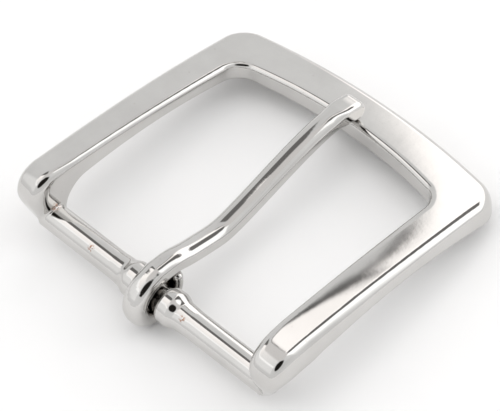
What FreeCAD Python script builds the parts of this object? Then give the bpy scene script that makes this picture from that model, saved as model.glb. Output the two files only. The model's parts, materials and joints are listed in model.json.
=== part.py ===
import FreeCAD, Part

import math
import os

import Sketcher

# Centre-bar belt buckle for a 40 mm strap: a die-cast frame with its strap bar, and a prong
# that hooks round the bar. Millimetres. X runs along the strap bar, Y from the strap bar to
# the far bar that the prong rests on, Z up. The origin is the middle of the strap bar, which
# is also the prong's hinge axis. Both pieces are drawn level and then tipped by lie_angle, so
# that the buckle lies on the prong's loop and on the far bar as it does on a table.

SIZES = {
    # strap bar, one casting with the frame
    "strap_width": 40.0,        # clear length of the bar between the arms
    "bar_radius": 2.1,
    "collar_radius": 2.75,      # swelling each side of the prong
    "collar_face": 2.15,        # inner face of the swelling, from the middle of the bar
    "collar_crest": 2.75,
    "collar_end": 6.5,          # where the swelling has run out to the bar's radius
    "bar_root": 1.2,            # how far the bar runs into each arm
    # frame, seen from the side
    "arm_width": 5.9,
    "arm_top": 8.3,             # top of the frame over the bar's axis
    "arch_radius": 348.0,       # of its upper side
    "frame_run": 47.0,
    "run_top": 4.15,            # upper side and underside at that distance
    "run_bottom": -0.86,
    "arm_bottom": 4.2,          # underside just beyond the elbow
    "bottom_radius": 91.0,
    "elbow_front": 3.1,         # furthest forward, before the bar's axis
    "elbow_shoulder": 3.7,      # height of that point
    "elbow_nose_radius": 5.0,
    "toe_front": 1.75,
    "toe_back": 1.7,
    "toe_top": 1.5,             # where the toe's rounding starts, below the bar's axis
    "toe_radius": 1.9,
    "elbow_back": 3.3,
    "elbow_back_height": 3.0,
    "armpit_end": 5.0,
    "armpit_radius": 2.2,
    # outlines, seen from above
    "plan_start": 8.0,          # where the cuts start, before the bar's axis
    "window_end_half": 19.1,    # window's half width near its far end
    "window_corner": 2.3,
    "window_end": 37.85,
    "window_bow": 71.0,
    "outer_end_half": 25.6,
    "outer_corner": 3.6,
    "outer_end": 45.5,
    "outer_bow": 109.0,
    "taper_end": 34.0,          # where the half widths near the far end are measured
    "inner_edge": 0.45,         # rounding of the window's upper edge
    "outer_edge": 2.4,          # rounding of the outer upper edge
    # prong, seen from the side
    "prong_width": 3.5,
    "bore_clearance": 0.1,      # between the bar and the prong's hook
    "hook_radius": 4.95,        # outside of the hook
    "hook_forward": 0.35,       # its centre, before and above the bar's axis
    "hook_up": 0.75,
    "hook_end_y": 4.45,         # end of the hook, behind the bar
    "hook_end_radius": 0.54,
    "hook_mouth_y": 3.45,
    "hook_mouth_z": 1.6,
    "hook_mouth_radius": 3.36,
    "root_y": 0.9,              # where the shank leaves the hook
    "root_radius": 14.0,
    "neck_y": 5.9,
    "neck_z": 5.2,
    "fall_y": 9.15,             # upper side, before and after the dip
    "fall_z": 4.25,
    "rise_y": 16.1,
    "rise_z": 4.3,
    "dip_radius": 12.3,
    "crest_start_y": 31.5,
    "crest_start_z": 8.81,
    "crest_end_y": 38.3,
    "crest_end_z": 8.6,
    "crest_radius": 11.0,
    "shank_depth": 2.9,
    "shank_slope": 16.3,        # angle of the rising stretch, and of the fall from the hook
    "tip_y": 40.3,
    "tip_z": 6.0,
    "tip_radius": 2.4,
    "tip_toe_y": 39.6,
    "tip_toe_radius": 0.9,
    "tip_toe_z": 5.33,          # just clear of the far bar
    "tip_heel_y": 38.6,
    "tip_heel_z": 5.45,
    "crest_low_y": 36.8,
    "crest_low_z": 6.1,
    "root_low_y": 3.0,
    "root_low_z": 3.3,
    "bore_start": 53.7,         # angles round the bar where the bore begins and ends
    "bore_end": 315.0,
    # lying position
    "lie_angle": 4.82,
}


UPWARD = 0.3        # a face whose normal rises more than this belongs to the upper side
EDGE_SLACK = 0.1    # mm, when an edge's place is compared with a size


def make_sheet(doc):
    """Write the driving sizes into a spreadsheet, one aliased cell each."""
    sheet = doc.addObject("Spreadsheet::Sheet", "Sizes")
    for row, (name, value) in enumerate(SIZES.items(), start=1):
        sheet.set("A%d" % row, name)
        sheet.set("B%d" % row, str(value))
        sheet.setAlias("B%d" % row, name)
    doc.recompute()
    return sheet


def linked(text):
    """Turn a formula in plain size names into one that reads the spreadsheet."""
    words = sorted(SIZES, key=len, reverse=True)
    for place, word in enumerate(words):
        text = text.replace(word, "<%d>" % place)
    for place, word in enumerate(words):
        text = text.replace("<%d>" % place, "Sizes." + word)
    return text


def number(doc, formula):
    """Value of a formula in the sheet's sizes."""
    return float(doc.Sizes.evalExpression(linked(formula)))


def new_body(doc, name):
    body = doc.addObject("PartDesign::Body", name)
    body.Label = name
    return body


def new_sketch(body, name, plane):
    """Sketch on one of the body's own origin planes: XY_Plane, XZ_Plane or YZ_Plane."""
    sketch = body.newObject("Sketcher::SketchObject", name)
    support = [f for f in body.Origin.OriginFeatures if f.Role == plane]
    sketch.AttachmentSupport = [(support[0], "")]
    sketch.MapMode = "FlatFace"
    return sketch


def hold(sketch, kind, formula, *places):
    """Add a constraint whose value follows a formula."""
    value = number(sketch.Document, formula)
    made = sketch.addConstraint(Sketcher.Constraint(kind, *places, value))
    sketch.renameConstraint(made, "c%d" % made)
    sketch.setExpression("Constraints.c%d" % made, linked(formula))


def pin(sketch, geometry, end, formulas):
    """Hold one end of a curve at a place given by two formulas."""
    for kind, formula in zip(("DistanceX", "DistanceY"), formulas):
        hold(sketch, kind, formula, -1, 1, geometry, end)


def arc_between(start, end, radius, bulge):
    """Shorter arc from start to end; bulge is +1 to the left of the way, -1 to the right."""
    chord = end - start
    half = chord.Length / 2
    left = FreeCAD.Vector(-chord.y, chord.x, 0).normalize()
    centre = (start + end) / 2 - left * bulge * math.sqrt(max(radius ** 2 - half ** 2, 0))
    first, last = (end, start) if bulge > 0 else (start, end)
    angles = [math.atan2(p.y - centre.y, p.x - centre.x) for p in (first, last)]
    circle = Part.Circle(centre, FreeCAD.Vector(0, 0, 1), radius)
    if angles[1] < angles[0]:
        angles[1] += 2 * math.pi
    return Part.ArcOfCircle(circle, angles[0], angles[1])


def outline(sketch, corners):
    """Closed outline. Each corner is (x, y) or (x, y, radius, bulge) for an arc that leaves it."""
    doc = sketch.Document
    points = [FreeCAD.Vector(number(doc, c[0]), number(doc, c[1]), 0) for c in corners]
    ends = []
    for place, corner in enumerate(corners):
        start, end = points[place], points[(place + 1) % len(points)]
        if len(corner) == 2:
            geometry = sketch.addGeometry(Part.LineSegment(start, end))
            ends.append((geometry, 1, 2))
            continue
        radius, bulge = number(doc, corner[2]), corner[3]
        geometry = sketch.addGeometry(arc_between(start, end, radius, bulge))
        ends.append((geometry, 2, 1) if bulge > 0 else (geometry, 1, 2))
        hold(sketch, "Radius", corner[2], geometry)
    for place, (geometry, first, last) in enumerate(ends):
        after = ends[(place + 1) % len(ends)]
        sketch.addConstraint(Sketcher.Constraint("Coincident", geometry, last, after[0], after[1]))
        pin(sketch, geometry, first, corners[place][:2])


def pad(body, name, sketch, length):
    """Pad of a length half each way from the sketch."""
    feature = body.newObject("PartDesign::Pad", name)
    feature.Profile = sketch
    feature.Midplane = True
    feature.setExpression("Length", linked(length))
    return feature


def cut_through(body, name, sketch):
    """Pocket right through the body, both ways from the sketch."""
    feature = body.newObject("PartDesign::Pocket", name)
    feature.Profile = sketch
    feature.Type = "ThroughAll"
    feature.Midplane = True
    return feature


def round_edges(body, name, base, edges, radius):
    feature = body.newObject("PartDesign::Fillet", name)
    feature.Base = (base, edges)
    feature.setExpression("Radius", linked(radius))
    return feature


def side_profile(body):
    """Side view of the frame: the arched arm and, at the strap bar, its deep elbow."""
    sketch = new_sketch(body, "side_profile", "YZ_Plane")
    outline(sketch, [
        ("0", "arm_top", "arch_radius", 1),
        ("frame_run", "run_top"),
        ("frame_run", "run_bottom", "bottom_radius", -1),
        ("armpit_end", "arm_bottom", "armpit_radius", -1),
        ("elbow_back", "elbow_back_height"),
        ("toe_back", "-toe_top", "toe_radius", 1),
        ("-toe_front", "-toe_top"),
        ("-elbow_front", "elbow_shoulder", "elbow_nose_radius", 1),
    ])
    return sketch


def ring_start(doc, half_end, corner, end, bow):
    """Places where a ring outline's far corner begins and ends, on its right-hand side."""
    narrow, r, top, big = [number(doc, f) for f in (half_end, corner, end, bow)]
    level = top - big + math.sqrt((big - r) ** 2 - (narrow - r) ** 2)
    lean = math.atan2(narrow - r, level - top + big)
    crest = (big * math.sin(lean), top - big + big * math.cos(lean))
    return (narrow, level), crest


def ring_outline(sketch, half_start, half_end, corner, end, bow):
    """Outline seen from above: tapering sides, tangent far corners and a bowed far edge."""
    doc = sketch.Document
    side, crest = ring_start(doc, half_end, corner, end, bow)
    wide, start = number(doc, half_start), number(doc, "-plan_start")
    places = [(-wide, start), (-side[0], side[1]), (-crest[0], crest[1]), crest, side, (wide, start)]
    p = [FreeCAD.Vector(x, y, 0) for x, y in places]
    small, large = number(doc, corner), number(doc, bow)
    left = sketch.addGeometry(Part.LineSegment(p[0], p[1]))
    first = sketch.addGeometry(arc_between(p[1], p[2], small, 1))
    far = sketch.addGeometry(arc_between(p[2], p[3], large, 1))
    second = sketch.addGeometry(arc_between(p[3], p[4], small, 1))
    right = sketch.addGeometry(Part.LineSegment(p[4], p[5]))
    base = sketch.addGeometry(Part.LineSegment(p[5], p[0]))
    for ends in ((left, 2, first, 2), (first, 1, far, 2), (far, 1, second, 2), (second, 1, right, 1)):
        sketch.addConstraint(Sketcher.Constraint("Tangent", *ends))
    for ends in ((right, 2, base, 1), (base, 2, left, 1)):
        sketch.addConstraint(Sketcher.Constraint("Coincident", *ends))
    pin(sketch, base, 1, (half_start, "-plan_start"))
    pin(sketch, base, 2, ("-" + half_start, "-plan_start"))
    hold(sketch, "Radius", corner, first)
    hold(sketch, "Radius", corner, second)
    hold(sketch, "Radius", bow, far)
    sketch.addConstraint(Sketcher.Constraint("PointOnObject", far, 3, -2))
    hold(sketch, "DistanceY", "%s - %s" % (end, bow), -1, 1, far, 3)
    for sign, line in (("-", left), ("", right)):
        gauge = sketch.addGeometry(Part.Point(FreeCAD.Vector(0, 0, 0)), True)
        pin(sketch, gauge, 1, (sign + half_end, "taper_end"))
        sketch.addConstraint(Sketcher.Constraint("PointOnObject", gauge, 1, line))


def bar_profile(body):
    """Half of the bar's lengthwise section, turned about the X axis."""
    sketch = new_sketch(body, "bar_profile", "XY_Plane")
    steps = [
        ("collar_face", "bar_radius"),
        ("collar_face", "collar_radius - 0.3"),
        ("collar_crest", "collar_radius"),
        ("collar_end", "bar_radius"),
        ("strap_width / 2 + bar_root", "bar_radius"),
        ("strap_width / 2 + bar_root", "0"),
    ]
    outline(sketch, [("-(%s)" % x, y) for x, y in reversed(steps)] + steps)
    return sketch


def faces_up(face):
    u_start, u_end, v_start, v_end = face.ParameterRange
    return face.normalAt((u_start + u_end) / 2, (v_start + v_end) / 2).z > UPWARD


def rim(doc, shape, window_side):
    """Names of the arched upper side's edges along the window, or along the outside."""
    upper = [edge for face in shape.Faces if faces_up(face) for edge in face.Edges]
    half = number(doc, "strap_width / 2") + EDGE_SLACK
    end = number(doc, "window_end") + EDGE_SLACK
    names = []
    for place, edge in enumerate(shape.Edges, start=1):
        middle = edge.valueAt((edge.FirstParameter + edge.LastParameter) / 2)
        by_window = abs(middle.x) < half and middle.y < end
        on_arch = middle.y > EDGE_SLACK
        if by_window == window_side and on_arch and any(edge.isSame(e) for e in upper):
            names.append("Edge%d" % place)
    return names


def make_frame(doc):
    """Die-cast frame: two arms with deep elbows, the far bar and the collared strap bar."""
    body = new_body(doc, "frame")
    pad(body, "side_pad", side_profile(body), "strap_width + 2 * arm_width")

    window = new_sketch(body, "window", "XY_Plane")
    ring_outline(window, "(strap_width / 2)", "window_end_half", "window_corner", "window_end",
                 "window_bow")
    cut_through(body, "window_cut", window)

    outside = new_sketch(body, "outside", "XY_Plane")
    ring_outline(outside, "(strap_width / 2 + arm_width)", "outer_end_half", "outer_corner",
                 "outer_end", "outer_bow")
    outline(outside, [("-2 * frame_run", "-frame_run"), ("2 * frame_run", "-frame_run"),
                      ("2 * frame_run", "2 * frame_run"), ("-2 * frame_run", "2 * frame_run")])
    ring = cut_through(body, "outside_cut", outside)
    doc.recompute()

    inner = round_edges(body, "inner_rim", ring, rim(doc, ring.Shape, True), "inner_edge")
    doc.recompute()
    round_edges(body, "outer_rim", inner, rim(doc, inner.Shape, False), "outer_edge")
    doc.recompute()

    bar = body.newObject("PartDesign::Revolution", "strap_bar")
    bar.Profile = bar_profile(body)
    bar.ReferenceAxis = (bar.Profile[0], ["H_Axis"])
    doc.recompute()
    return body


def on_bore(angle):
    """Place on the hook's bore at an angle from +Y towards +Z."""
    radius = "(bar_radius + bore_clearance)"
    return ("%s * cos(%s)" % (radius, angle), "%s * sin(%s)" % (radius, angle))


def below(y, z, side):
    """Place on the shank's underside, square below a place on its upper side."""
    across = "%s + %s * shank_depth * sin(shank_slope)" % (y, side)
    return (across, "%s - shank_depth * cos(shank_slope)" % z)


def prong_profile(body):
    """Side view of the prong: a hook round the bar, and a shank that dips, rises and ends bent."""
    bore = "bar_radius + bore_clearance"
    root_z = "hook_up + sqrt(hook_radius ^ 2 - (root_y + hook_forward) ^ 2)"
    end_z = "hook_up + sqrt(hook_radius ^ 2 - (hook_end_y + hook_forward) ^ 2)"
    low_dip = "dip_radius + shank_depth"
    low_crest = "crest_radius - shank_depth"
    sketch = new_sketch(body, "prong_profile", "YZ_Plane")
    outline(sketch, [
        # upper side, from the hook to the tip
        ("root_y", root_z, "root_radius", 1),
        ("neck_y", "neck_z"),
        ("fall_y", "fall_z", "dip_radius", -1),
        ("rise_y", "rise_z"),
        ("crest_start_y", "crest_start_z", "crest_radius", 1),
        ("crest_end_y", "crest_end_z", "tip_radius", 1),
        ("tip_y", "tip_z", "tip_toe_radius", 1),
        ("tip_toe_y", "tip_toe_z"),
        ("tip_heel_y", "tip_heel_z"),
        # underside, back to the bore
        ("crest_low_y", "crest_low_z", low_crest, -1),
        below("crest_start_y", "crest_start_z", "1"),
        below("rise_y", "rise_z", "1") + (low_dip, 1),
        below("fall_y", "fall_z", "-1"),
        below("neck_y", "neck_z", "-1"),
        ("root_low_y", "root_low_z"),
        on_bore("bore_start") + (bore, -1),
        on_bore("180") + (bore, -1),
        on_bore("bore_end") + ("hook_mouth_radius", -1),
        # round the hook's open end and back along its outside
        ("hook_mouth_y", "hook_mouth_z", "hook_end_radius", 1),
        ("hook_end_y", end_z, "hook_radius", 1),
        ("-hook_forward", "hook_up - hook_radius", "hook_radius", 1),
        ("-hook_forward - hook_radius", "hook_up", "hook_radius", 1),
    ])
    return sketch


def make_prong(doc):
    """Prong, cast with an open hook that is bent round the strap bar."""
    body = new_body(doc, "prong")
    pad(body, "prong_pad", prong_profile(body), "prong_width")
    doc.recompute()
    return body


def check(doc, parts):
    """Stop if any object failed to build or any piece isn't one sound solid."""
    for item in doc.Objects:
        if "Invalid" in item.State or "Error" in item.State:
            raise RuntimeError("%s failed: %s" % (item.Name, item.State))
    for part in parts:
        if part.Shape.isNull() or not part.Shape.isValid() or len(part.Shape.Solids) != 1:
            raise RuntimeError("%s isn't one valid solid" % part.Label)
    gap = parts[0].Shape.distToShape(parts[1].Shape)[0]
    print("gap between the pieces: %.3f mm" % gap)


def lay_down(doc, part):
    """Tip a piece about the strap bar, so that the far bar is as low as the prong's hook."""
    angle = number(doc, "lie_angle")
    part.Placement = FreeCAD.Placement(
        FreeCAD.Vector(0, 0, 0), FreeCAD.Rotation(FreeCAD.Vector(1, 0, 0), -angle))


def main():
    doc = FreeCAD.newDocument("belt_buckle")
    make_sheet(doc)
    parts = [make_frame(doc), make_prong(doc)]
    for part in parts:
        lay_down(doc, part)
    doc.recompute()
    check(doc, parts)
    os.makedirs("parts", exist_ok=True)
    for part in parts:
        part.Shape.exportStep("parts/%s.step" % part.Label)
        box = part.Shape.BoundBox
        print("%s: %.0f mm3, %.1f x %.1f x %.1f mm, lowest %.2f" % (
            part.Label, part.Shape.Volume, box.XLength, box.YLength, box.ZLength, box.ZMin))


main()
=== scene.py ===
import json
import math

import bpy
import numpy as np
from mathutils import Matrix, Vector


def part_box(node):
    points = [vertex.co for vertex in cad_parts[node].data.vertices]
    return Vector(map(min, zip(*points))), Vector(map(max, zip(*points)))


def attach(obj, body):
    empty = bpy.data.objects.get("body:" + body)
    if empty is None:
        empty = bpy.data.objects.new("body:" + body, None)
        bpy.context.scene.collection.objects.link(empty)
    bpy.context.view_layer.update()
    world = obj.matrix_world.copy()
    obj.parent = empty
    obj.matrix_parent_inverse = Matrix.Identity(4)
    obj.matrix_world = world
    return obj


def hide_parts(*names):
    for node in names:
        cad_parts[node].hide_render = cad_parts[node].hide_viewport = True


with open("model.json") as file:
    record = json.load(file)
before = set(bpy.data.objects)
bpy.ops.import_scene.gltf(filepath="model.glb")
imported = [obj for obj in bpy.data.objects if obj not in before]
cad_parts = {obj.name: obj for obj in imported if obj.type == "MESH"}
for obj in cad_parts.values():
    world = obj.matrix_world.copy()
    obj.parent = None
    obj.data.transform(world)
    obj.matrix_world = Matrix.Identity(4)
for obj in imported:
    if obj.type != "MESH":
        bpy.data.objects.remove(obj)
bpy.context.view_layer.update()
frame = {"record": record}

MM = 0.001

# The casting and the prong are drawn level, in millimetres: X along the strap bar, Y towards
# the far bar, Z up, the bar's axis at y = z = 0. Each is the zero surface of a smooth field
# that is negative inside the metal, and is then tipped to lie as the CAD pieces do.

REST = [m for m in frame["record"]["mounts"] if m["name"] == "prong_rest"][0]
LIE = math.atan2(REST["axis"][1], REST["axis"][2])

# frame, seen from the side
TOP = (8.29, -0.0209, -0.00147)         # height of the upper side along Y, as a quadratic
BOTTOM = (3.49, 0.1645, -0.00547)       # height of the underside
FRONT_POINT = (-3.12, 3.7)              # a point of the elbow's front face
FRONT_OUT = (-0.942, -0.334)            # its outward direction
NOSE = 5.5                              # how far the rolled corner reaches along each side
BACK_POINT = (2.3, 0.6)
BACK_OUT = (0.933, -0.359)
ARMPIT = 2.0
TOE = 1.0
TOE_LIFT = 6.8                          # how much higher the elbow ends on its outer side
# frame, seen from above
INNER_HALF = (20.0, -0.0205, -0.00010)
INNER_BOW = (37.88, 71.0)               # far edge of the window and its radius
INNER_CORNER = 2.3
OUTER_HALF = (25.84, 0.0, -0.0002)
OUTER_BOW = (45.45, 109.0)
OUTER_CORNER = 4.2
# edges
SHOULDER_DOWN = 3.3
SHOULDER_IN = 1.9
INNER_EDGE = 0.95
ELBOW_SHARPER = 0.1                     # how much tighter the shoulder turns at the elbow
ELBOW_SOFTER = 0.8                      # how much rounder the inner edge is there
ELBOW_CROWN = 0.03                      # rounding of the elbow's front across the arm
ELBOW_MIDDLE = 22.4
# across its width the top falls as a dome: its curvature, and the slope it ends at. Each has
# its extra by the elbow, the length over which that fades, and its value far off.
DOME = (0.130, 8.0, 0.0026)
DOME_LIMIT = (0.065, 9.0, 0.085)
DOME_WIDTH = 7                          # no further fall beyond this
LOWER_EDGE = 0.8
SHOULDER_POWER = 2.2                    # above 2, the rounding starts gently
TOE_START = 1.0                         # where the elbow's end starts to rise, across the arm
TOE_RUN = 5.5                           # and over what width
TOE_DROP = 2.65                         # its lowest point, below the bar's axis
# strap bar
BAR = 2.06                              # radius, and the largest at the swellings
COLLAR = 2.72
COLLAR_FACE = 2.15                      # inner face of a swelling, from the bar's middle
COLLAR_EDGE = 0.6
BAR_END = 21.5
NECK_EXTRA = 0.02                       # radius between the swellings, above BAR
ROOT = 0.35                             # fillet between the bar and the arms


def quadratic(law, t):
    return law[0] + law[1] * t + law[2] * t * t


def quadratic_slope(law, t):
    return law[1] + 2 * law[2] * t


def meet(a, b, ra, rb, power=2.0):
    """Both solids at once, the edge between them rounded ra deep in a and rb deep in b."""
    u = np.maximum(a + ra, 0) / ra
    v = np.maximum(b + rb, 0) / rb
    scale = 0.5 * (ra + rb)
    curve = ((u ** power + v ** power) ** (1 / power) - 1) * scale
    return np.where((u > 0) & (v > 0), curve, np.maximum(a, b))


def join(a, b, r):
    """Either solid, with a fillet of radius r in the corner between them."""
    u = np.maximum(r - a, 0)
    v = np.maximum(r - b, 0)
    return np.maximum(r, np.minimum(a, b)) - np.sqrt(u * u + v * v)


def bowed(x, y, half, bow, corner):
    """Plan region with slightly bowed sides and a far edge of large radius."""
    side = np.abs(x) - quadratic(half, y)
    far = np.hypot(x, y - (bow[0] - bow[1])) - bow[1]
    return meet(side, far, corner, corner)


def faded(law, along):
    return law[0] * np.exp(-along / law[1]) + law[2]


def casting_field(p):
    """Frame and strap bar: arched top, elbows that turn down at the front, window and outside."""
    x, y, z = p
    inner = bowed(x, y, INNER_HALF, INNER_BOW, INNER_CORNER)
    along = np.maximum(y, 0)
    slope = quadratic_slope(TOP, along)
    bend = faded(DOME, along)
    across = np.clip(inner, 0, DOME_WIDTH)
    steepest = faded(DOME_LIMIT, along)
    firm = steepest / bend
    fall = 0.5 * bend * np.minimum(across, firm) ** 2 + steepest * np.maximum(across - firm, 0)
    height = quadratic(TOP, along) - fall
    top = (z - height) / np.sqrt(1 + slope * slope)
    front = (y - FRONT_POINT[0]) * FRONT_OUT[0] + (z - FRONT_POINT[1]) * FRONT_OUT[1]
    front = front + ELBOW_CROWN * (np.abs(x) - ELBOW_MIDDLE) ** 2
    upper = meet(top, front, NOSE, NOSE)
    slope = quadratic_slope(BOTTOM, y)
    under = (quadratic(BOTTOM, y) - z) / np.sqrt(1 + slope * slope)
    back = (y - BACK_POINT[0]) * BACK_OUT[0] + (z - BACK_POINT[1]) * BACK_OUT[1]
    lower = join(under, back, ARMPIT)
    outside = bowed(x, y, OUTER_HALF, OUTER_BOW, OUTER_CORNER)
    a = np.abs(x) - INNER_HALF[0]       # distance into the arm from the bar's end
    turn = np.clip((a - TOE_START) / TOE_RUN, 0, 1) * math.pi
    lift = TOE_LIFT * (1 - np.cos(turn)) / 2
    steep = TOE_LIFT * np.sin(turn) / 2 * math.pi / TOE_RUN
    toe = (lift - TOE_DROP - z) / np.sqrt(1 + steep * steep) - np.maximum(y - 8, 0) * 0.5
    elbow = 1 - smooth_step((y + 1.5) / 6)
    tight = 1 - ELBOW_SHARPER * elbow
    solid = meet(upper, outside, SHOULDER_DOWN * tight, SHOULDER_IN * tight, SHOULDER_POWER)
    edge = INNER_EDGE + ELBOW_SOFTER * elbow
    solid = meet(solid, -inner, edge, edge)
    solid = meet(solid, lower, LOWER_EDGE, LOWER_EDGE)
    solid = meet(solid, toe, TOE, TOE)
    return join(solid, bar_field(p), ROOT)


def smooth_step(t):
    t = np.clip(t, 0, 1)
    return t * t * (3 - 2 * t)


def bar_field(p):
    """Strap bar: plain, with a swelling each side of the prong that has a square inner face."""
    x, y, z = p
    ax = np.abs(x)
    swell = 0.72 * (1 - smooth_step((ax - 3.9) / 1.7)) + 0.28 * (1 - smooth_step((ax - 4.5) / 4.0))
    shell = np.hypot(y, z) - (BAR + (COLLAR - BAR) * swell)
    neck = np.hypot(y, z) - (BAR + NECK_EXTRA)
    collar = meet(shell, COLLAR_FACE - ax, COLLAR_EDGE, COLLAR_EDGE)
    return np.maximum(np.minimum(collar, neck), ax - BAR_END)


def capsules(y, z, line):
    """Distance to a chain of (y, z, half thickness) stations, negative inside."""
    best = np.full(y.shape, 1e9, np.float32)
    for (ya, za, ra), (yb, zb, rb) in zip(line[:-1], line[1:]):
        dy, dz = yb - ya, zb - za
        t = np.clip(((y - ya) * dy + (z - za) * dz) / (dy * dy + dz * dz), 0, 1)
        d = np.hypot(y - ya - t * dy, z - za - t * dz) - (ra + (rb - ra) * t)
        best = np.minimum(best, d)
    return best


def curve(stations, steps):
    """Smooth chain through the given stations."""
    pts = np.array(stations, float)
    pts = np.vstack([2 * pts[0] - pts[1], pts, 2 * pts[-1] - pts[-2]])
    out = []
    for k in range(1, len(pts) - 2):
        a, b, c, d = pts[k - 1:k + 3]
        for t in np.arange(steps) / steps:
            out.append(0.5 * (2 * b + (c - a) * t + (2 * a - 5 * b + 4 * c - d) * t ** 2
                              + (3 * b - a - 3 * c + d) * t ** 3))
    out.append(pts[-2])
    return [tuple(q) for q in out]


BORE = 2.22                             # radius of the hook's hole
PRONG_HALF = 1.74                       # half the prong's width
PRONG_CROWN = 1.3                       # depth of the rounding across the prong
# centre of the shank from the hook's top to the tip, with half its thickness
SHANK = [
    (0.6, 4.05, 1.50), (3.4, 4.0, 1.45), (6.0, 3.35, 1.45), (8.8, 2.85, 1.45),
    (11.6, 2.45, 1.45), (13.5, 2.5, 1.45), (16.5, 3.15, 1.45), (19.4, 3.95, 1.45),
    (23.5, 5.15, 1.45), (28.5, 6.5, 1.45), (32.5, 7.25, 1.45), (35.2, 7.45, 1.45),
    (37.3, 7.25, 1.45), (38.8, 6.93, 1.48),
]
# the same down the front of the hook and up to its open end
HOOK = [
    (0.4, 4.05, 1.5), (-1.6, 3.45, 1.45), (-3.1, 2.2, 1.5), (-3.75, 0.4, 1.5), (-3.3, -1.4, 1.38),
    (-2.1, -2.65, 1.18), (-0.5, -3.2, 1.0), (1.0, -2.98, 0.98), (2.2, -2.3, 0.95),
    (3.1, -1.1, 0.92), (3.55, 0.2, 0.90), (3.62, 1.25, 0.90),
]


def prong_field(p):
    """Hook and shank with a rounded section that squares up towards the tip."""
    x, y, z = p
    side = np.minimum(capsules(y, z, curve(SHANK, 6)), capsules(y, z, curve(HOOK, 6)))
    side = np.maximum(side, BORE - np.hypot(y, z))
    square = smooth_step((y - 34) / 3)
    crown = PRONG_CROWN - 0.55 * square
    return meet(side, np.abs(x) - PRONG_HALF, crown, PRONG_HALF - 0.9 * square, 2.2)


NEAR = ((0, 0, 0), (1, 0, 0), (1, 1, 0), (0, 1, 0), (0, 0, 1), (1, 0, 1), (1, 1, 1), (0, 1, 1))
CELL_EDGES = ((0, 1), (1, 2), (3, 2), (0, 3), (4, 5), (5, 6), (7, 6), (4, 7),
              (0, 4), (1, 5), (2, 6), (3, 7))
BLOCK = 8                               # cells along a block that is sampled once
NEAR_BLOCK = 1.1                        # block lengths within which a block is sampled fully
SETTLE_STEP = 0.12                      # furthest that a vertex moves in one round, in mm


def sample(field, axes, step):
    """Field on a grid. Blocks that are well clear of the surface keep their middle's value."""
    size = [len(axis) for axis in axes]
    middles = [axis[::BLOCK] + (BLOCK - 1) / 2 * step for axis in axes]
    coarse = field(np.meshgrid(*middles, indexing="ij"))
    for axis in range(3):
        coarse = np.repeat(coarse, BLOCK, axis=axis)
    values = coarse[:size[0], :size[1], :size[2]].copy()
    near = np.nonzero(np.abs(values) < BLOCK * step * NEAR_BLOCK)
    values[near] = field([axis[n] for axis, n in zip(axes, near)])
    return values


def surface(field, low, high, step):
    """Vertices and quads of a field's zero surface, one vertex in each cell it crosses."""
    axes = [np.arange(a, b + step, step, dtype=np.float32) for a, b in zip(low, high)]
    values = sample(field, axes, step)
    inside = values < 0
    shape = [n - 1 for n in values.shape]
    count = np.zeros(shape, np.int8)
    for dx, dy, dz in NEAR:
        count += inside[dx:dx + shape[0], dy:dy + shape[1], dz:dz + shape[2]]
    cells = np.argwhere((count > 0) & (count < 8))
    number = np.full(shape, -1, np.int64)
    number[tuple(cells.T)] = np.arange(len(cells))
    total = np.zeros((len(cells), 3))
    crossings = np.zeros(len(cells))
    corner = [values[tuple((cells + np.array(n)).T)] for n in NEAR]
    for first, second in CELL_EDGES:
        va, vb = corner[first], corner[second]
        hit = (va < 0) != (vb < 0)
        t = np.where(hit, va / np.where(hit, va - vb, 1), 0)
        a, b = np.array(NEAR[first]), np.array(NEAR[second])
        total += np.where(hit[:, None], a + (b - a) * t[:, None], 0)
        crossings += hit
    origin = np.array([axis[0] for axis in axes])
    verts = origin + (cells + total / crossings[:, None]) * step
    quads = []
    for axis in range(3):
        one, two = (axis + 1) % 3, (axis + 2) % 3
        ahead = np.zeros(3, int)
        ahead[axis] = 1
        n = values.shape
        here = inside[1:-1, 1:-1, 1:-1]
        there = inside[1 + ahead[0]:n[0] - 1 + ahead[0], 1 + ahead[1]:n[1] - 1 + ahead[1],
                       1 + ahead[2]:n[2] - 1 + ahead[2]]
        at = np.argwhere(here != there) + 1
        out = here[tuple((at - 1).T)]
        ring = []
        for back_one, back_two in ((0, 0), (1, 0), (1, 1), (0, 1)):
            cell = at.copy()
            cell[:, one] -= back_one
            cell[:, two] -= back_two
            ring.append(number[tuple(cell.T)])
        ring = np.array(ring).T
        ring[~out] = ring[~out][:, ::-1]
        quads.append(ring)
    return verts, np.vstack(quads)


def settle(field, verts, rounds=3, reach=0.02):
    """Move the vertices straight onto the field's zero surface."""
    for _ in range(rounds):
        value = field(list(verts.T))
        slope = np.zeros_like(verts)
        for axis in range(3):
            offset = np.zeros(3)
            offset[axis] = reach
            ahead, behind = field(list((verts + offset).T)), field(list((verts - offset).T))
            slope[:, axis] = (ahead - behind) / (2 * reach)
        size = np.maximum((slope ** 2).sum(1), 0.05)
        move = -(value / size)[:, None] * slope
        length = np.linalg.norm(move, axis=1)
        limit = np.minimum(1, SETTLE_STEP / np.maximum(length, 1e-9))
        verts = verts + move * limit[:, None]
    return verts


def solid_piece(name, field, low, high, step, body, nodes, material):
    """Mesh a field inside a box, tip it as the buckle lies, and attach it to its body."""
    verts, quads = surface(field, low, high, step)
    verts = settle(field, verts)
    mesh = bpy.data.meshes.new(name)
    mesh.from_pydata((verts * MM).tolist(), [], quads.tolist())
    mesh.validate()
    mesh.transform(Matrix.Rotation(-LIE, 4, "X"))
    mesh.polygons.foreach_set("use_smooth", np.ones(len(mesh.polygons), bool))
    mesh.materials.append(material)
    piece = bpy.data.objects.new(name, mesh)
    bpy.context.scene.collection.objects.link(piece)
    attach(piece, body)
    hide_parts(*nodes)


def new_material(name):
    material = bpy.data.materials.new(name)
    material.use_nodes = True
    tree = material.node_tree
    return material, tree, tree.nodes["Principled BSDF"]


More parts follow.
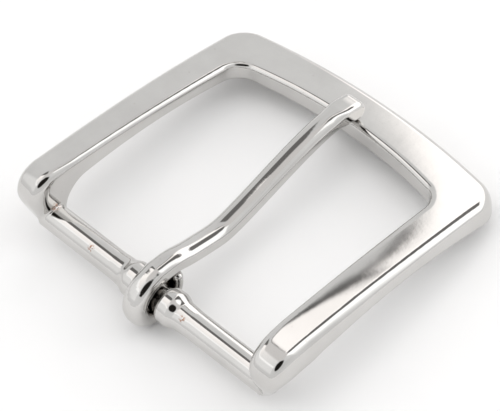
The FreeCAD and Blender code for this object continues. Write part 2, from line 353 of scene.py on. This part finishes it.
def nickel(name, shift, stains):
    """Bright nickel plating: faint cloudiness, fine polishing waves, a few dull specks, and
    painted shade that darkens the colour in crevices and gaps between parts.
    """
    material, tree, shader = new_material(name)
    coords = tree.nodes.new("ShaderNodeTexCoord")
    place = tree.nodes.new("ShaderNodeMapping")
    place.inputs["Location"].default_value = shift
    tree.links.new(coords.outputs["Object"], place.inputs["Vector"])
    shader.inputs["Metallic"].default_value = 1.0

    cloud = tree.nodes.new("ShaderNodeTexNoise")
    cloud.inputs["Scale"].default_value = 160.0
    cloud.inputs["Detail"].default_value = 6.0
    tree.links.new(place.outputs["Vector"], cloud.inputs["Vector"])
    rough = tree.nodes.new("ShaderNodeMapRange")
    rough.inputs["From Min"].default_value = 0.3
    rough.inputs["From Max"].default_value = 0.75
    rough.inputs["To Min"].default_value = 0.05
    rough.inputs["To Max"].default_value = 0.10
    tree.links.new(cloud.outputs["Fac"], rough.inputs["Value"])
    tree.links.new(rough.outputs["Result"], shader.inputs["Roughness"])

    tint = tree.nodes.new("ShaderNodeValToRGB")
    tint.color_ramp.elements[0].position = 0.30
    tint.color_ramp.elements[0].color = (0.585, 0.575, 0.56, 1)
    tint.color_ramp.elements[1].position = 0.62
    tint.color_ramp.elements[1].color = (0.63, 0.62, 0.605, 1)
    tree.links.new(cloud.outputs["Fac"], tint.inputs["Fac"])

    speck = tree.nodes.new("ShaderNodeTexVoronoi")
    speck.inputs["Scale"].default_value = 420.0
    tree.links.new(place.outputs["Vector"], speck.inputs["Vector"])
    spot = tree.nodes.new("ShaderNodeMapRange")
    spot.inputs["From Min"].default_value = 0.03
    spot.inputs["From Max"].default_value = 0.07
    spot.inputs["To Min"].default_value = 0.35
    spot.inputs["To Max"].default_value = 0.0
    tree.links.new(speck.outputs["Distance"], spot.inputs["Value"])
    spotted = tree.nodes.new("ShaderNodeMix")
    spotted.data_type = "RGBA"
    tree.links.new(spot.outputs["Result"], spotted.inputs["Factor"])
    tree.links.new(tint.outputs["Color"], spotted.inputs["A"])
    spotted.inputs["B"].default_value = (0.45, 0.41, 0.39, 1)
    metal = spotted.outputs["Result"]
    blotch = tree.nodes.new("ShaderNodeTexNoise")
    blotch.inputs["Scale"].default_value = 2600.0
    tree.links.new(place.outputs["Vector"], blotch.inputs["Vector"])
    for where, reach in stains:
        amount = stain(tree, where, reach, blotch.outputs["Fac"])
        metal = mixed(tree, amount, metal, (0.36, 0.22, 0.16, 1))
    # Painted shade: where ambient occlusion finds crevices and the gaps between parts, the colour
    # is mixed towards near-black to stand in for the shade that falls there.
    crevice = tree.nodes.new("ShaderNodeAmbientOcclusion")
    crevice.samples = 8
    crevice.inputs["Distance"].default_value = 0.0016
    open_air = tree.nodes.new("ShaderNodeMapRange")
    open_air.inputs["From Min"].default_value = 0.12
    open_air.inputs["From Max"].default_value = 0.50
    tree.links.new(crevice.outputs["AO"], open_air.inputs["Value"])
    painted_crevice_shade = tree.nodes.new("ShaderNodeMix")
    painted_crevice_shade.data_type = "RGBA"
    tree.links.new(open_air.outputs["Result"], painted_crevice_shade.inputs["Factor"])
    painted_crevice_shade.inputs["A"].default_value = (0.10, 0.085, 0.07, 1)
    tree.links.new(metal, painted_crevice_shade.inputs["B"])
    tree.links.new(painted_crevice_shade.outputs["Result"], shader.inputs["Base Color"])

    wave = tree.nodes.new("ShaderNodeTexNoise")
    wave.inputs["Scale"].default_value = 900.0
    wave.inputs["Detail"].default_value = 3.0
    tree.links.new(place.outputs["Vector"], wave.inputs["Vector"])
    bump = tree.nodes.new("ShaderNodeBump")
    bump.inputs["Strength"].default_value = 0.05
    bump.inputs["Distance"].default_value = 0.00005
    tree.links.new(wave.outputs["Fac"], bump.inputs["Height"])
    tree.links.new(bump.outputs["Normal"], shader.inputs["Normal"])
    return material


# stained places on the strap bar, in the level frame, each with its reach
STAINS = [((-11.29, -1.26, 1.66), 0.55), ((6.70, -1.30, 1.62), 0.50), ((-20.6, 0.1, 2.2), 1.1)]


def stain(tree, place, reach, cloud):
    """How strongly the metal is stained near a place, from 0 to 1."""
    coords = tree.nodes.new("ShaderNodeTexCoord")
    away = tree.nodes.new("ShaderNodeVectorMath")
    away.operation = "DISTANCE"
    tree.links.new(coords.outputs["Object"], away.inputs[0])
    away.inputs[1].default_value = tipped(Vector(place) * MM)
    near = spread(tree, away.outputs["Value"], reach * 1.3 * MM, reach * 0.4 * MM)
    return math_node(tree, "MULTIPLY", near, spread(tree, cloud, 0.42, 0.58), clamp=True)


# view of the buckle, in the level frame: where the camera stands and how it is turned
VIEW_AZIMUTH = 46.7538
VIEW_HEIGHT = 48.7327
VIEW_ROLL = -2.7517
VIEW_DISTANCE = 304.855
VIEW_TARGET = (0.0, 20.0, 0.0)
VIEW_OFFSET = (1.2012, -1.0474)
LENS = 157.15
SENSOR = 36.0


def tipped(v):
    return Matrix.Rotation(-LIE, 3, "X") @ Vector(v)


def make_camera():
    az, el, roll = (math.radians(v) for v in (VIEW_AZIMUTH, VIEW_HEIGHT, VIEW_ROLL))
    back = Vector((math.sin(az) * math.cos(el), -math.cos(az) * math.cos(el), math.sin(el)))
    level = Vector((math.cos(az), math.sin(az), 0))
    upright = back.cross(level)
    right = math.cos(roll) * level + math.sin(roll) * upright
    up = -math.sin(roll) * level + math.cos(roll) * upright
    place = (Vector(VIEW_TARGET) - VIEW_OFFSET[0] * right - VIEW_OFFSET[1] * up
             + VIEW_DISTANCE * back) * MM
    axes = Matrix((tipped(right), tipped(up), tipped(back))).transposed()
    data = bpy.data.cameras.new("view")
    data.sensor_width = SENSOR
    data.lens = LENS
    data.clip_start = 0.01
    camera = bpy.data.objects.new("view", data)
    camera.matrix_world = Matrix.Translation(tipped(place)) @ axes.to_4x4()
    bpy.context.scene.collection.objects.link(camera)
    bpy.context.scene.camera = camera
    return tipped(back)


def stage_floor(height):
    mesh = bpy.data.meshes.new("floor")
    size = 4.0
    mesh.from_pydata([(-size, -size, height), (size, -size, height), (size, size, height),
                      (-size, size, height)], [], [(0, 1, 2, 3)])
    floor = bpy.data.objects.new("floor", mesh)
    bpy.context.scene.collection.objects.link(floor)
    material, tree, shader = new_material("paper")
    shader.inputs["Roughness"].default_value = 0.95
    grain = tree.nodes.new("ShaderNodeTexNoise")
    grain.inputs["Scale"].default_value = 900.0
    ramp = tree.nodes.new("ShaderNodeValToRGB")
    ramp.color_ramp.elements[0].color = (0.93, 0.93, 0.93, 1)
    ramp.color_ramp.elements[1].color = (0.96, 0.96, 0.96, 1)
    tree.links.new(grain.outputs["Fac"], ramp.inputs["Fac"])
    tree.links.new(ramp.outputs["Color"], shader.inputs["Base Color"])
    mesh.materials.append(material)


# Light round the buckle by compass direction in the level frame: degrees from +Y towards +X,
# and the brightness and warmth there, high up, midway and low. This isn't an even studio: the
# panels and the narrow dark lines were placed so that the seams and streaks in the plating
# fall where they are seen from make_camera's side. Other sides see them elsewhere.
HIGH_LIGHT = [
    (-180, 1.1, 0), (-140, 1.35, 1), (-97, 1.6, 1), (-93, 0.20, 1), (-66, 0.20, 1), (-62, 0.86, 0),
    (-34.2, 0.87, 0), (-33.5, 0.08, 1), (-30.6, 0.08, 1), (-29.3, 1.5, 1), (-21, 1.8, 1),
    (-18, 0.20, 1), (14, 0.22, 1), (19, 1.7, 0), (48, 1.8, 0), (60, 1.0, 0), (100, 0.9, 0),
    (180, 1.05, 0),
]
MIDDLE_LIGHT = [
    (-180, 1.5, 0), (-118, 1.45, 0), (-104, 0.86, 0), (-32.7, 0.87, 0), (-32.4, 0.15, 1),
    (-31.6, 0.15, 1), (-31.2, 1.65, 1), (-21, 1.95, 1), (-18, 0.22, 1), (16, 0.24, 1),
    (20, 1.8, 0), (48, 1.8, 0), (60, 1.0, 0), (100, 0.9, 0), (180, 1.05, 0),
]
LOW_LIGHT = [
    (-180, 1.15, 0), (-112, 1.10, 0), (-104, 0.86, 0), (-33.0, 0.92, 0), (-30.5, 1.90, 1),
    (48, 1.8, 0), (60, 0.9, 0), (100, 0.8, 0), (180, 0.95, 0),
]


def math_node(tree, operation, first, second=None, clamp=False):
    node = tree.nodes.new("ShaderNodeMath")
    node.operation = operation
    node.use_clamp = clamp
    for place, value in enumerate((first, second)):
        if value is None:
            continue
        if isinstance(value, (int, float)):
            node.inputs[place].default_value = value
        else:
            tree.links.new(value, node.inputs[place])
    return node.outputs[0]


def spread(tree, value, start, end):
    node = tree.nodes.new("ShaderNodeMapRange")
    node.interpolation_type = "SMOOTHSTEP"
    node.inputs["From Min"].default_value = start
    node.inputs["From Max"].default_value = end
    tree.links.new(value, node.inputs["Value"])
    return node.outputs["Result"]


def mixed(tree, factor, first, second):
    node = tree.nodes.new("ShaderNodeMix")
    node.data_type = "RGBA"
    tree.links.new(factor, node.inputs["Factor"])
    for name, value in (("A", first), ("B", second)):
        if isinstance(value, tuple):
            node.inputs[name].default_value = value
        else:
            tree.links.new(value, node.inputs[name])
    return node.outputs["Result"]


def compass_ramp(tree, turn, stations):
    ramp = tree.nodes.new("ShaderNodeValToRGB")
    tree.links.new(turn, ramp.inputs["Fac"])
    stops = ramp.color_ramp.elements
    while len(stops) < len(stations):
        stops.new(0.5)
    for stop, (angle, light, warm) in zip(stops, stations):
        stop.position = (angle + 180) / 360
        stop.color = (light, light * (1 - 0.03 * warm), light * (1 - 0.045 * warm), 1)
    return ramp.outputs["Color"]


def soft_world(toward_camera):
    """Placed light: the three rings above, white overhead, and a dark disc at the camera.

    The disc stands still, so from behind the buckle its whole top mirrors it and looks black.
    """
    world = bpy.data.worlds.new("studio")
    bpy.context.scene.world = world
    world.use_nodes = True
    tree = world.node_tree
    back = tree.nodes["Background"]
    coords = tree.nodes.new("ShaderNodeTexCoord")
    level = tree.nodes.new("ShaderNodeVectorRotate")
    level.rotation_type = "X_AXIS"
    level.inputs["Angle"].default_value = LIE
    tree.links.new(coords.outputs["Generated"], level.inputs["Vector"])
    parts = tree.nodes.new("ShaderNodeSeparateXYZ")
    tree.links.new(level.outputs["Vector"], parts.inputs["Vector"])
    compass = math_node(tree, "ARCTAN2", parts.outputs["X"], parts.outputs["Y"])
    turn = math_node(tree, "ADD", math_node(tree, "DIVIDE", compass, 2 * math.pi), 0.5)
    height = parts.outputs["Z"]
    sky = mixed(tree, spread(tree, height, 0.62, 0.66), compass_ramp(tree, turn, LOW_LIGHT),
                compass_ramp(tree, turn, MIDDLE_LIGHT))
    sky = mixed(tree, spread(tree, height, 0.72, 0.75), sky, compass_ramp(tree, turn, HIGH_LIGHT))
    sky = mixed(tree, spread(tree, height, 0.93, 0.97), sky, (0.9, 0.88, 0.87, 1))
    sky = mixed(tree, spread(tree, height, 0.30, 0.10), sky, (0.90, 0.90, 0.90, 1))
    facing = tree.nodes.new("ShaderNodeVectorMath")
    facing.operation = "DOT_PRODUCT"
    tree.links.new(coords.outputs["Generated"], facing.inputs[0])
    facing.inputs[1].default_value = toward_camera
    disc = spread(tree, facing.outputs["Value"], 0.895, 0.935)
    sky = mixed(tree, disc, sky, (0.02, 0.018, 0.016, 1))
    tree.links.new(sky, back.inputs["Color"])


def top_lamp():
    """Large even lamp from above that lights the floor and isn't mirrored in the plating."""
    data = bpy.data.lights.new("overhead", "SUN")
    data.energy = 0.6
    data.angle = math.radians(60)
    lamp = bpy.data.objects.new("overhead", data)
    lamp.rotation_euler = (math.radians(5), math.radians(4), 0)
    lamp.visible_glossy = False
    bpy.context.scene.collection.objects.link(lamp)


plated_frame = nickel("frame_nickel", (0.0, 0.0, 0.0), STAINS)
plated_prong = nickel("prong_nickel", (0.3, 0.1, 0.2), [])
solid_piece("casting", casting_field, (-26.3, -3.6, -3.3), (26.3, 46.0, 8.9), 0.16,
            "frame", ["frame"], plated_frame)
solid_piece("prong_bar", prong_field, (-2.1, -5.7, -4.7), (2.1, 40.9, 9.4), 0.11,
            "prong", ["prong"], plated_prong)
toward_camera = make_camera()
stage_floor(min(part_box("frame")[0].z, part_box("prong")[0].z))
soft_world(toward_camera)
top_lamp()
bpy.context.scene.view_settings.view_transform = "Standard"
